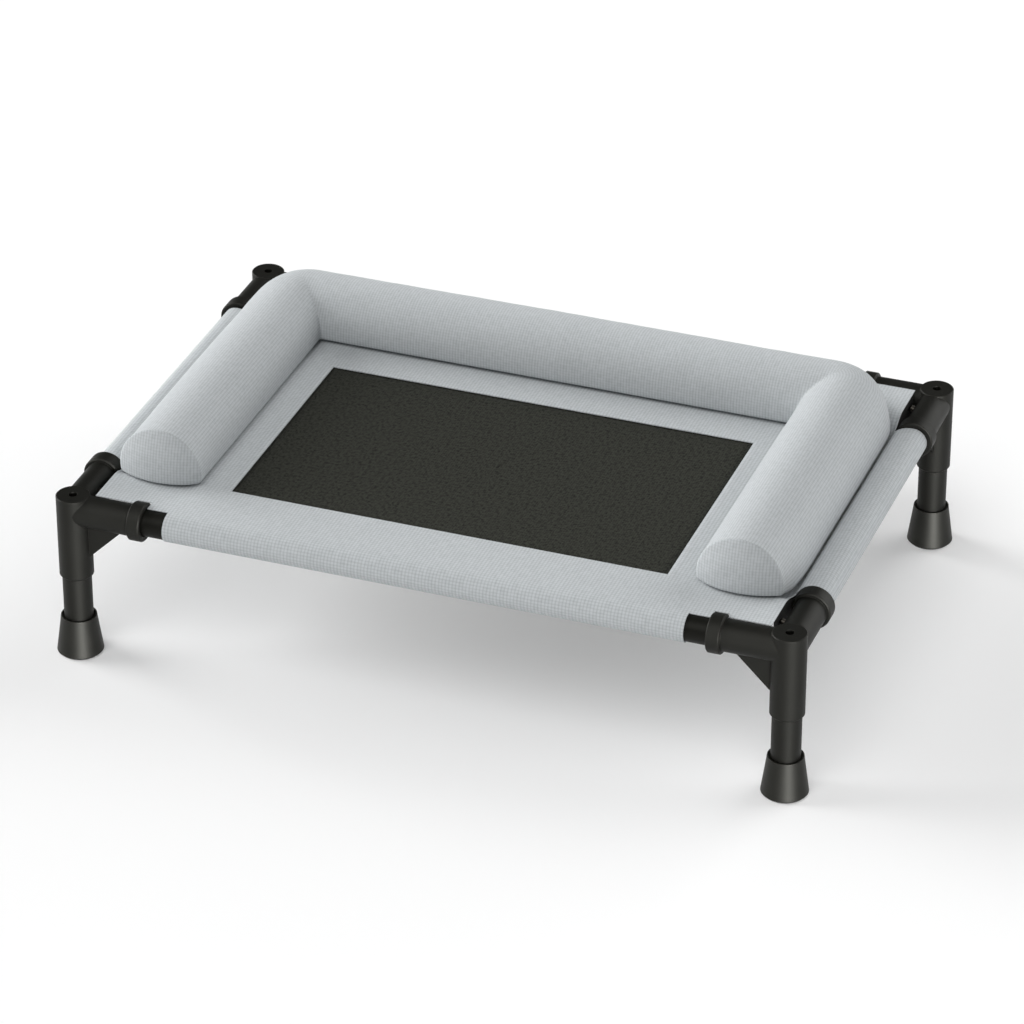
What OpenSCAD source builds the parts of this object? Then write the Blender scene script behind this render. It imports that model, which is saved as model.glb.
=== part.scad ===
// Raised dog cot: a knock-down tube frame on four legs, a stretched cloth deck with a mesh
// middle, and a stuffed bolster round three sides.
// +X runs along the length, the open front faces -Y and +Z is up. The origin is on the floor,
// below the middle of the frame.

/* [Frame] */
// Distance between the post axes along the length
frame_l = 740; // [640:5:1000]
// Distance between the post axes along the width
frame_w = 500; // [450:5:800]
// Height of the flat post tops above the floor
post_h = 180; // [165:1:260]

/* [Rails] */
// Outside diameter of the rails
rail_d = 27; // [24:0.5:32]
// Wall of the rail tubes
rail_wall = 1.2; // [0.8:0.1:2]

/* [Corner connectors] */
// Wall of the arms round the rail sockets
arm_wall = 2.5; // [2:0.1:4]
// How far the tops of the arms lie below the post tops
arm_sink = 0.2; // [0.2:0.1:4]
// Length of the lengthwise arm, from the post axis
arm_x_len = 78; // [72:1:95]
// Length of the crosswise arm, from the post axis
arm_y_len = 84; // [74:1:100]
// Width of the collar on the lengthwise arm
collar_x_w = 14; // [8:0.5:18]
// Width of the collar on the crosswise arm
collar_y_w = 17; // [8:0.5:20]
// How far the collars stand out from the arms
collar_rise = 3.5; // [2:0.25:5]
// Bevel on the collar edges
collar_bevel = 1.2; // [0.5:0.1:1.8]
// Wall of the post round the leg socket
post_wall = 2.3; // [1.8:0.1:4]
// Length of the post barrel
post_len = 91; // [85:1:110]
// Bevel round the post top
post_bevel = 0.8; // [0.3:0.1:1.5]
// Bevel round the lower rim of the post
rim_bevel = 1.8; // [0.5:0.1:2]
// Solid wall between the post axis region and a rail's inner end
stop_wall = 9.3; // [6:0.1:14]
// Solid wall between the rail sockets and the leg socket
ceiling_wall = 9.3; // [4:0.1:14]
// How far the webs reach along the arms, from the post axis
web_reach = 51; // [42:1:56]
// How far the webs reach down the post, from its top
web_drop = 66; // [55:1:80]
// Thickness of the webs
web_t = 8; // [4:0.5:12]
// Depth of the bevel at the socket mouths
mouth_bevel = 0.8; // [0.2:0.1:1.2]

/* [Legs and feet] */
// Outside diameter of the legs
leg_d = 29.5; // [26:0.5:33]
// Wall of the leg tubes
leg_wall = 1.5; // [1:0.1:2.5]
// Height of the feet
foot_h = 42; // [30:1:55]
// Diameter of a foot at its rim
foot_top_d = 36; // [34.5:0.5:44]
// Diameter of a foot where it is widest
foot_base_d = 47; // [42:0.5:60]
// Thickness of a foot below the leg
foot_floor = 8; // [4:0.5:15]
// Bevel round the bottom of a foot
foot_bevel = 2.5; // [1:0.25:4]
// Width and depth of the bevel inside the foot's rim
foot_lip = 1.5; // [0.5:0.1:1.8]

/* [Leg screws] */
// Diameter of the screw shanks
screw_d = 5; // [4:0.5:6]
// Length of the screw shanks
screw_l = 30; // [20:1:33]
// Diameter of the screw heads
head_d = 8.5; // [7.5:0.25:10]
// Height of the screw heads
head_h = 5; // [3.5:0.25:6]
// Size of the hexagon socket across its flats
hex_flats = 4; // [3:0.5:5]
// Depth of the hexagon socket
hex_depth = 2.5; // [1.5:0.25:3]
// Thickness of the web that a screw head clamps
seat_web = 12; // [8:0.5:14]
// Height of the threaded plugs in the legs
plug_h = 22; // [20:1:30]

/* [Snap buttons] */
// Diameter of the buttons
button_d = 7; // [5:0.25:8.5]
// How far the buttons stand out from the arms
button_proud = 5; // [3:0.25:6]
// Height of the rounded end of a button
button_dome = 2; // [1:0.25:2.4]
// Distance of the buttons from the rails' ends
button_from_end = 8.5; // [7:0.5:25]
// Angle of the buttons above the level
button_tilt = 20; // [0:1:40]
// Diameter of the flange that keeps a button in its rail
flange_d = 10; // [9.5:0.25:12]
// Thickness of that flange
flange_t = 1.2; // [0.8:0.1:2]
// Thickness of the leaf springs
spring_t = 0.8; // [0.5:0.1:1.2]
// Width of the leaf springs
spring_w = 8; // [5:0.5:10]
// Length of the leaf springs past the button axis
spring_l = 32; // [25:1:45]

/* [Deck] */
// Thickness of the deck cloth
cloth_t = 1.2; // [0.6:0.1:2]
// Start of the front and rear sleeves, from the post axis
sleeve_x_start = 101; // [97:1:120]
// Start of the side sleeves, from the post axis
sleeve_y_start = 88; // [86:1:120]
// Distance of the cloth's corner cut from the crosswise arm's axis
corner_cut = 23; // [22:1:40]
// Distance of the cloth's edge from the rail's axis, between a collar and a sleeve
bare_cut = 5; // [3:0.5:9]
// Length of the mesh window
mesh_l = 456; // [350:1:470]
// Distance of the window's front edge from the front rail's axis
mesh_front = 62; // [45:1:90]
// Depth of the window, front to rear
mesh_d = 271; // [200:1:290]
// Thickness of the mesh panel
mesh_t = 0.9; // [0.5:0.1:1.5]
// Width of the mesh edge that is sewn under the border
mesh_lap = 12; // [8:1:20]

/* [Bolster] */
// Radius of the bolster's round section
bolster_r = 44; // [38:0.5:46]
// Height of the bolster above its flat base
bolster_h = 54.5; // [48:0.5:66]
// Distance of the side runs' middle from the side rails' axes
side_inset = 69; // [64:1:80]
// Distance of the rear run's middle from the rear rail's axis
rear_inset = 84; // [66:1:95]
// Distance of the front ends from the front rail's axis
front_inset = 46; // [40:1:110]
// Depth of the dome at each front end
end_depth = 20; // [8:0.5:35]
// Radius that the middle of the bolster follows round the rear corners
turn_r = 20; // [12:1:40]
// Radius of the crease inside the rear corners
crease_r = 1; // [0.6:0.1:10]
// Thickness of the bolster's cloth
cover_t = 1.2; // [0.8:0.1:2]
// Width of the hook and loop strips
strip_w = 25; // [15:1:50]
// Thickness of each strip
strip_t = 1.2; // [0.6:0.1:2]
// Length of the strips under the side runs
side_strip_l = 230; // [120:5:240]
// Length of the strips under the rear run
rear_strip_l = 420; // [200:5:440]

/* [Clearances] */
// Gap round a rail or leg in its socket
socket_gap = 0.2; // [0.1:0.05:0.4]
// Gap between a rail and its cloth sleeve
sleeve_gap = 0.2; // [0.1:0.05:0.5]
// Gap round a leg in its foot
foot_gap = 0.15; // [0.05:0.05:0.3]
// Gap round a screw head in its recess
head_gap = 0.25; // [0.15:0.05:0.5]
// Gap round a screw shank in the connector
shank_gap = 0.25; // [0.15:0.05:0.5]
// Gap round a screw shank in its plug
thread_gap = 0.1; // [0.05:0.01:0.2]
// Gap round a plug in its leg
plug_gap = 0.1; // [0.05:0.01:0.2]
// Gap round a button in its hole
button_gap = 0.3; // [0.2:0.05:0.5]
// Gap between a button's flange, or its spring, and the rail's wall
flange_gap = 0.25; // [0.15:0.05:0.5]
// Gap between the cut edge of the deck cloth and the arms
notch_gap = 0.6; // [0.3:0.1:0.8]
// Gap between the bolster's stuffing and its cloth
fill_gap = 0.4; // [0.3:0.1:0.6]

/* [Hidden] */
$fn = 96;

// A cutting solid reaches this far past the face that it opens
past = 1;
half_l = frame_l / 2;
half_w = frame_w / 2;
corners = [[-1, -1], [1, -1], [-1, 1], [1, 1]];

// Connector
rail_r = rail_d / 2;
socket_r = rail_r + socket_gap;
arm_r = socket_r + arm_wall;
collar_r = arm_r + collar_rise;
arm_z = post_h - arm_sink - arm_r;
rail_stop = socket_r + stop_wall;
leg_r = leg_d / 2;
leg_socket_r = leg_r + socket_gap;
post_r = leg_socket_r + post_wall;
post_bottom = post_h - post_len;
leg_top = arm_z - socket_r - ceiling_wall;
seat_z = leg_top + seat_web;
// The webs' slanted edge runs on into the arm and the post by this share of its length
web_root = 0.2;

// Buttons and springs, measured outwards from the rail's axis
button_y = rail_stop + button_from_end;
rail_in_r = rail_r - rail_wall;
flange_top = sqrt(pow(rail_in_r - flange_gap, 2) - pow(flange_d / 2, 2));
flange_bottom = flange_top - flange_t;
button_tip = arm_r + button_proud;
dome_r = (pow(button_d / 2, 2) + pow(button_dome, 2)) / (2 * button_dome);
spring_floor = -sqrt(pow(rail_in_r - flange_gap, 2) - pow(spring_w / 2, 2));
spring_pad = flange_d / 2;
spring_bend = 4 * spring_t;

// Deck
sleeve_in_r = rail_r + sleeve_gap;
sleeve_r = sleeve_in_r + cloth_t;
// The sheet leaves the sleeves a little below their highest line
deck_dip = sleeve_gap;
deck_top = arm_z + sleeve_r - deck_dip;
deck_bottom = deck_top - cloth_t;
arm_cut = sqrt(pow(arm_r, 2) - pow(deck_bottom - arm_z, 2)) + notch_gap;
collar_cut = sqrt(pow(collar_r, 2) - pow(deck_bottom - arm_z, 2)) + notch_gap;

// Bolster
side_x = half_l - side_inset;
rear_y = half_w - rear_inset;
front_y = -half_w + front_inset;
loop_z = deck_top + strip_t;
bolster_z = loop_z + strip_t;
round_z = bolster_h - bolster_r;
// The stuffing is split where the side runs stop being straight
split_y = rear_y - max(turn_r, bolster_r + crease_r);
fill_inset = cover_t + fill_gap;
// Points round a section, steps over an end's dome and steps round a rear corner
section_points = 18;
end_steps = 5;
turn_steps = 9;

// Corner frame: +X runs inwards along the length, +Y inwards along the width
module at_corner(c)
  translate([c[0] * half_l, c[1] * half_w, 0])
    mirror([c[0] > 0 ? 1 : 0, 0, 0])
      mirror([0, c[1] > 0 ? 1 : 0, 0])
        children();

module along_x() rotate([0, 90, 0]) children();

module along_y() rotate([-90, 0, 0]) children();

// Button frame: +Z points outwards along the button, +Y along the rail
module at_button()
  translate([0, button_y, arm_z])
    rotate([0, 90 - button_tilt, 0])
      children();

module tube(r, wall, len)
  difference() {
    cylinder(r = r, h = len);
    translate([0, 0, -past])
      cylinder(r = r - wall, h = len + 2 * past);
  }

module arm(len, collar_w)
  rotate_extrude()
    polygon([
      [0, 0],
      [arm_r, 0],
      [arm_r, len - collar_w],
      [collar_r - collar_bevel, len - collar_w],
      [collar_r, len - collar_w + collar_bevel],
      [collar_r, len - collar_bevel],
      [collar_r - collar_bevel, len],
      [0, len]
    ]);

module arm_socket(len) {
  translate([0, 0, rail_stop])
    cylinder(r = socket_r, h = len - rail_stop + past);
  translate([0, 0, len - mouth_bevel])
    cylinder(r1 = socket_r, r2 = socket_r + 2 * mouth_bevel, h = 2 * mouth_bevel);
}

module post()
  rotate_extrude()
    polygon([
      [0, post_bottom],
      [post_r - rim_bevel, post_bottom],
      [post_r, post_bottom + rim_bevel],
      [post_r, post_h - post_bevel],
      [post_r - post_bevel, post_h],
      [0, post_h]
    ]);

// One web, in the upright plane through the post and an arm
module web() {
  high = [web_reach, arm_z - arm_r];
  low = [post_r, post_h - web_drop];
  arm_end = high + web_root * (high - low);
  post_end = low + web_root * (low - high);
  linear_extrude(height = web_t, center = true)
    polygon([[0, arm_z], arm_end, post_end, [0, post_end[1]]]);
}

module post_bores() {
  translate([0, 0, post_bottom - past])
    cylinder(r = leg_socket_r, h = leg_top - post_bottom + past);
  translate([0, 0, leg_top - past])
    cylinder(r = screw_d / 2 + shank_gap, h = seat_web + 2 * past);
  translate([0, 0, seat_z])
    cylinder(r = head_d / 2 + head_gap, h = post_h - seat_z + past);
}

module button_hole()
  at_button()
    translate([0, 0, flange_bottom])
      cylinder(r = button_d / 2 + button_gap, h = button_tip - flange_bottom);

module corner(c)
  color([0.13, 0.13, 0.125])
    at_corner(c)
      difference() {
        union() {
          post();
          translate([0, 0, arm_z]) along_x() arm(arm_x_len, collar_x_w);
          translate([0, 0, arm_z]) along_y() arm(arm_y_len, collar_y_w);
          rotate([90, 0, 0]) web();
          rotate([90, 0, 90]) web();
        }
        post_bores();
        translate([0, 0, arm_z]) along_x() arm_socket(arm_x_len);
        translate([0, 0, arm_z]) along_y() arm_socket(arm_y_len);
        button_hole();
      }

module long_rail(side)
  color([0.1, 0.1, 0.1])
    translate([rail_stop - half_l, side * half_w, arm_z])
      along_x() tube(rail_r, rail_wall, frame_l - 2 * rail_stop);

module side_rail(side)
  color([0.1, 0.1, 0.1])
    difference() {
      translate([side * half_l, rail_stop - half_w, arm_z])
        along_y() tube(rail_r, rail_wall, frame_w - 2 * rail_stop);
      for (end = [-1, 1])
        at_corner([side, end]) button_hole();
    }

module leg(c)
  color([0.17, 0.17, 0.16])
    at_corner(c)
      translate([0, 0, foot_floor])
        tube(leg_r, leg_wall, leg_top - foot_floor);

module foot(c)
  color([0.27, 0.27, 0.26])
    at_corner(c)
      rotate_extrude()
        polygon([
          [0, 0],
          [foot_base_d / 2 - foot_bevel, 0],
          [foot_base_d / 2, foot_bevel],
          [foot_top_d / 2, foot_h],
          [leg_r + foot_gap + foot_lip, foot_h],
          [leg_r + foot_gap, foot_h - foot_lip],
          [leg_r + foot_gap, foot_floor],
          [0, foot_floor]
        ]);

module leg_plugs()
  color("dimgray")
    for (c = corners)
      at_corner(c)
        translate([0, 0, leg_top - plug_h])
          difference() {
            cylinder(r = leg_r - leg_wall - plug_gap, h = plug_h);
            translate([0, 0, -past])
              cylinder(r = screw_d / 2 + thread_gap, h = plug_h + 2 * past);
          }

module leg_screws()
  color("silver")
    for (c = corners)
      at_corner(c)
        translate([0, 0, seat_z])
          difference() {
            union() {
              cylinder(d = head_d, h = head_h);
              translate([0, 0, -screw_l])
                cylinder(d = screw_d, h = screw_l + head_h / 2);
            }
            translate([0, 0, head_h - hex_depth])
              cylinder(d = hex_flats / cos(30), h = hex_depth + past, $fn = 6);
          }

module button(c)
  color([0.2, 0.2, 0.2])
    at_corner(c)
      at_button() {
        translate([0, 0, flange_bottom])
          cylinder(d = flange_d, h = flange_t);
        translate([0, 0, flange_bottom])
          cylinder(d = button_d, h = button_tip - button_dome - flange_bottom);
        intersection() {
          translate([0, 0, button_tip - dome_r])
            sphere(r = dome_r);
          translate([0, 0, button_tip - button_dome])
            cylinder(d = button_d, h = button_dome + past);
        }
      }

// A strip bent to a V: one leaf lies under the button, the other along the rail's far wall
module spring(c)
  color("lightsteelblue")
    at_corner(c)
      at_button()
        rotate([90, 0, 90])
          linear_extrude(height = spring_w, center = true)
            polygon([
              [-spring_pad, flange_bottom],
              [spring_pad, flange_bottom],
              [spring_l, spring_floor + spring_bend],
              [spring_l, spring_floor],
              [-spring_pad, spring_floor],
              [-spring_pad, spring_floor + spring_t],
              [spring_l - spring_t, spring_floor + spring_t],
              [spring_l - spring_t, spring_floor + spring_bend - spring_t / 2],
              [spring_pad - spring_t / 2, flange_bottom - spring_t],
              [-spring_pad, flange_bottom - spring_t]
            ]);

// The cloth is cut away round a connector, close to the arms and their collars
module corner_notch()
  polygon([
    [-past, -past],
    [sleeve_x_start, -past],
    [sleeve_x_start, bare_cut],
    [arm_x_len + notch_gap, bare_cut],
    [arm_x_len + notch_gap, collar_cut],
    [arm_x_len - collar_x_w - notch_gap, collar_cut],
    [arm_x_len - collar_x_w - notch_gap, arm_cut],
    [corner_cut, arm_cut],
    [corner_cut, sleeve_y_start],
    [-past, sleeve_y_start]
  ]);

module deck_sheet()
  translate([0, 0, deck_bottom])
    linear_extrude(height = cloth_t)
      difference() {
        square([frame_l, frame_w], center = true);
        translate([-mesh_l / 2, -half_w + mesh_front])
          square([mesh_l, mesh_d]);
        for (c = corners)
          at_corner(c) corner_notch();
      }

// Round bars along the four rails: the sleeves' outside, or the room for the rails
module rail_bars(r, cut) {
  bar_x = half_l - sleeve_x_start + cut;
  bar_y = half_w - sleeve_y_start + cut;
  for (side = [-1, 1]) {
    translate([-bar_x, side * half_w, arm_z])
      along_x() cylinder(r = r, h = 2 * bar_x);
    translate([side * half_l, -bar_y, arm_z])
      along_y() cylinder(r = r, h = 2 * bar_y);
  }
}

module deck_cover()
  color([0.73, 0.75, 0.76])
    difference() {
      union() {
        deck_sheet();
        rail_bars(sleeve_r, 0);
      }
      rail_bars(sleeve_in_r, past);
    }

module mesh_panel()
  color([0.22, 0.22, 0.21])
    translate([-mesh_l / 2 - mesh_lap, -half_w + mesh_front - mesh_lap, deck_bottom - mesh_t])
      cube([mesh_l + 2 * mesh_lap, mesh_d + 2 * mesh_lap, mesh_t]);

// Fastening strips along the middle of the bolster's three runs
module strips(z) {
  strip_y = (front_y + end_depth + split_y) / 2;
  for (side = [-1, 1])
    translate([side * side_x - strip_w / 2, strip_y - side_strip_l / 2, z])
      cube([strip_w, side_strip_l, strip_t]);
  translate([-rear_strip_l / 2, rear_y - strip_w / 2, z])
    cube([rear_strip_l, strip_w, strip_t]);
}

module hook_strips() color("gray") strips(deck_top);

module loop_strips() color("darkgray") strips(loop_z);

// Section of the bolster: a circle cut flat at the base, as [towards the inside, up]
function section(inset) =
  let (
    r = bolster_r - inset,
    low = asin((inset - round_z) / r),
    step = (180 - 2 * low) / (section_points - 1)
  )
  [for (i = [0 : section_points - 1]) [r * cos(low + i * step), round_z + r * sin(low + i * step)]];

// Section of a straight side run
function flat_ring(side, y, inset) =
  [for (p = section(inset)) [side * (side_x - p[0]), y, bolster_z + p[1]]];

// Sections over the dome of a front end, which shrink towards the middle of its base
function end_ring(side, i, inset) =
  let (a = 90 * i / end_steps, k = sin(a))
  [
    for (p = section(inset))
      [side * (side_x - p[0] * k),
       front_y + inset + end_depth * (1 - cos(a)),
       bolster_z + inset + (p[1] - inset) * k]
  ];

// Sections round a rear corner. Each point turns at its own radius, down to the crease inside
function turn_ring(side, i, inset) =
  let (a = 90 * i / turn_steps)
  [
    for (p = section(inset))
      let (r = max(turn_r - p[0], crease_r))
      [side * (side_x - p[0] - r + r * cos(a)),
       rear_y - p[0] - r + r * sin(a),
       bolster_z + p[1]]
  ];

function end_rings(side, inset) = [for (i = [1 : end_steps]) end_ring(side, i, inset)];

function turn_rings(side, inset) = [for (i = [0 : turn_steps]) turn_ring(side, i, inset)];

function backwards(list) = [for (i = [len(list) - 1 : -1 : 0]) list[i]];

// Middle of an end's flat base
function base_tip(side, y, inset) = [side * side_x, y, bolster_z + inset];

// A closed skin over a row of rings, drawn together to a point at each end
module sweep(rings, first_tip, last_tip) {
  n = section_points;
  last = len(rings) - 1;
  points = [for (ring = rings) each ring];
  sides = [
    for (i = [0 : last - 1], j = [0 : n - 1])
      let (a = i * n + j, b = i * n + (j + 1) % n)
      each [[a, b, b + n], [a, b + n, a + n]]
  ];
  first_cap = [for (j = [0 : n - 1]) [len(points), (j + 1) % n, j]];
  last_cap = [for (j = [0 : n - 1]) [len(points) + 1, last * n + j, last * n + (j + 1) % n]];
  polyhedron(concat(points, [first_tip, last_tip]), concat(sides, first_cap, last_cap));
}

module bolster_skin(inset)
  sweep(
    concat(
      end_rings(-1, inset),
      turn_rings(-1, inset),
      backwards(turn_rings(1, inset)),
      backwards(end_rings(1, inset))
    ),
    base_tip(-1, front_y + inset, inset),
    base_tip(1, front_y + inset, inset)
  );

module bolster_cover()
  color([0.72, 0.735, 0.74])
    difference() {
      bolster_skin(0);
      bolster_skin(cover_t);
    }

// Stuffing of a side run, from its front end to the start of the rear corner
function side_run(side) =
  concat(end_rings(side, fill_inset), [flat_ring(side, split_y - fill_gap, fill_inset)]);

function front_tip(side) = base_tip(side, front_y + fill_inset, fill_inset);

function split_tip(side, y) = base_tip(side, y, bolster_h / 2);

module bolster_fill_left()
  color("white")
    sweep(side_run(-1), front_tip(-1), split_tip(-1, split_y - fill_gap));

module bolster_fill_right()
  color("white")
    sweep(backwards(side_run(1)), split_tip(1, split_y - fill_gap), front_tip(1));

module bolster_fill_rear()
  color("white")
    sweep(
      concat(
        [flat_ring(-1, split_y, fill_inset)],
        turn_rings(-1, fill_inset),
        backwards(turn_rings(1, fill_inset)),
        [flat_ring(1, split_y, fill_inset)]
      ),
      split_tip(-1, split_y),
      split_tip(1, split_y)
    );

corner([-1, -1]);  // corner_front_left
corner([1, -1]);  // corner_front_right
corner([-1, 1]);  // corner_rear_left
corner([1, 1]);  // corner_rear_right
long_rail(-1);  // front_rail
long_rail(1);  // rear_rail
side_rail(-1);  // left_rail
side_rail(1);  // right_rail
leg([-1, -1]);  // leg_front_left
leg([1, -1]);  // leg_front_right
leg([-1, 1]);  // leg_rear_left
leg([1, 1]);  // leg_rear_right
foot([-1, -1]);  // foot_front_left
foot([1, -1]);  // foot_front_right
foot([-1, 1]);  // foot_rear_left
foot([1, 1]);  // foot_rear_right
leg_plugs();
leg_screws();
button([-1, -1]);  // button_front_left
button([1, -1]);  // button_front_right
button([-1, 1]);  // button_rear_left
button([1, 1]);  // button_rear_right
spring([-1, -1]);  // spring_front_left
spring([1, -1]);  // spring_front_right
spring([-1, 1]);  // spring_rear_left
spring([1, 1]);  // spring_rear_right
deck_cover();
mesh_panel();
hook_strips();
bolster_cover();
bolster_fill_left();
bolster_fill_rear();
bolster_fill_right();
loop_strips();
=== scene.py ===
import math
from types import SimpleNamespace

import bmesh
import bpy
import numpy as np
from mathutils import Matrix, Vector


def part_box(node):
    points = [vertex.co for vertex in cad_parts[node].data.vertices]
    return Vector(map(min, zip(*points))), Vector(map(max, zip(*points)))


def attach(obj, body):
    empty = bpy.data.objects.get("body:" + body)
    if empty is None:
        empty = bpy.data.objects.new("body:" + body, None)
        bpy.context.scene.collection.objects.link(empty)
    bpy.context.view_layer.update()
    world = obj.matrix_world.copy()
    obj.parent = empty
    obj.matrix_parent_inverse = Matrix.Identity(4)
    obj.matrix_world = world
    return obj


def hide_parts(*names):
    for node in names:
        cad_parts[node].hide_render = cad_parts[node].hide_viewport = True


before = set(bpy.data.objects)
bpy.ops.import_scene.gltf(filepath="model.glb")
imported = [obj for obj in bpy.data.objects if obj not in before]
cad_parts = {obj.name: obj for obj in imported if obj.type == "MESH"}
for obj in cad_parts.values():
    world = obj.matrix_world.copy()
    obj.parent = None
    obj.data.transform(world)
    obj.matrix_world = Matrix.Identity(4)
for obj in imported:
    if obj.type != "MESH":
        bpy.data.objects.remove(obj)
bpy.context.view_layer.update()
scene = bpy.context.scene
mm = 0.001
nearZero = 1e-9  # keeps a divisor off zero
samePlace = mm / 100  # points closer than this are one point
clothEdge = math.radians(60)  # cloth that turns more than this shows an edge
print("frame loaded:", len(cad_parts), "solids")


# An sRGB hex colour, as the linear colour that a shader takes
def toLinear(hexColour):
    channels = [int(hexColour[i:i + 2], 16) / 255 for i in (1, 3, 5)]
    return [c / 12.92 if c <= 0.04045 else ((c + 0.055) / 1.055) ** 2.4 for c in channels] + [1.0]


# Adds a node, sets its properties, and fills its inputs with values or links
def addNode(tree, kind, inputs=None, **settings):
    node = tree.nodes.new(kind)
    for name, value in settings.items():
        setattr(node, name, value)
    for key, value in (inputs or {}).items():
        if isinstance(value, bpy.types.NodeSocket):
            tree.links.new(value, node.inputs[key])
        else:
            node.inputs[key].default_value = value
    return node


def startMaterial(name, surface):
    material = bpy.data.materials.new(name)
    material.use_nodes = True
    shader = material.node_tree.nodes["Principled BSDF"]
    for socket, value in surface.items():
        shader.inputs[socket].default_value = value
    return material, material.node_tree, shader


# Octaves of the noises, and how the edges that get a painted highlight are found: rays for each
# rounded normal, and the cosines between it and the flat one where that painted highlight starts
# and where it is full
noiseDetail = {"slub": 2.0, "patch": 3.0, "grain": 2.0, "cloud": 4.0}
edgeFinder = {"rays": 6, "start": 0.995, "full": 0.8}


# Cloth: the weave follows the flat pattern, which the UV map holds in metres
def wovenCloth(name, look):
    material, tree, shader = startMaterial(name, look["surface"])
    flat = addNode(tree, "ShaderNodeUVMap", uv_map="clothFlat")
    axes = addNode(tree, "ShaderNodeSeparateXYZ", {0: flat.outputs[0]})
    ridges = []
    slubs = []
    for axis in (0, 1):
        pitch = look["pitch"][axis] * mm
        turns = addNode(tree, "ShaderNodeMath", {0: axes.outputs[axis], 1: math.pi / pitch},
                        operation="MULTIPLY")
        wave = addNode(tree, "ShaderNodeMath", {0: turns.outputs[0]}, operation="SINE")
        ridge = addNode(tree, "ShaderNodeMath", {0: wave.outputs[0]}, operation="ABSOLUTE")
        rounded = addNode(tree, "ShaderNodeMath",
                          {0: ridge.outputs[0], 1: look["threadFlatness"]}, operation="POWER")
        # a thread line fades to its share of the contrast
        share = look["lineShare"][axis]
        ridges.append(addNode(tree, "ShaderNodeMath",
                              {0: rounded.outputs[0], 1: share, 2: 1 - share},
                              operation="MULTIPLY_ADD"))
        # slubs: each thread is a little thicker or thinner along its length
        stretch = [1 / (look["slubLength"] * mm)] * 3
        stretch[axis] = 1 / pitch
        place = addNode(tree, "ShaderNodeMapping",
                        {"Vector": flat.outputs[0], "Scale": stretch})
        slubs.append(addNode(tree, "ShaderNodeTexNoise",
                             {"Vector": place.outputs[0], "Scale": 1.0,
                              "Detail": noiseDetail["slub"]}, noise_dimensions="2D"))
    weave = addNode(tree, "ShaderNodeMath", {0: ridges[0].outputs[0], 1: ridges[1].outputs[0]},
                    operation="MULTIPLY")
    slub = addNode(tree, "ShaderNodeMath", {0: slubs[0].outputs[0], 1: slubs[1].outputs[0]},
                   operation="ADD")
    patches = addNode(tree, "ShaderNodeTexNoise",
                      {"Vector": flat.outputs[0], "Scale": 1 / (look["patchSize"] * mm),
                       "Detail": noiseDetail["patch"]}, noise_dimensions="2D")
    # slub and patches both lie round a middle value, so together they shift the tone both ways
    uneven = addNode(tree, "ShaderNodeMath",
                     {0: patches.outputs[0], 1: look["patchShare"], 2: slub.outputs[0]},
                     operation="MULTIPLY_ADD")
    middle = (1 + look["patchShare"] / 2) * look["unevenness"]
    shift = addNode(tree, "ShaderNodeMath",
                    {0: uneven.outputs[0], 1: look["unevenness"], 2: -middle},
                    operation="MULTIPLY_ADD")
    tone = addNode(tree, "ShaderNodeMath", {0: weave.outputs[0], 1: shift.outputs[0]},
                   operation="ADD", use_clamp=True)
    colour = addNode(tree, "ShaderNodeMix",
                     {0: tone.outputs[0], 6: toLinear(look["gap"]), 7: toLinear(look["thread"])},
                     data_type="RGBA")
    height = addNode(tree, "ShaderNodeMath",
                     {0: slub.outputs[0], 1: look["slubHeight"], 2: weave.outputs[0]},
                     operation="MULTIPLY_ADD")
    bump = addNode(tree, "ShaderNodeBump", {"Height": height.outputs[0], "Strength": look["bump"],
                                            "Distance": look["threadHeight"] * mm})
    tree.links.new(colour.outputs[2], shader.inputs["Base Color"])
    tree.links.new(bump.outputs[0], shader.inputs["Normal"])
    return material
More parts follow.
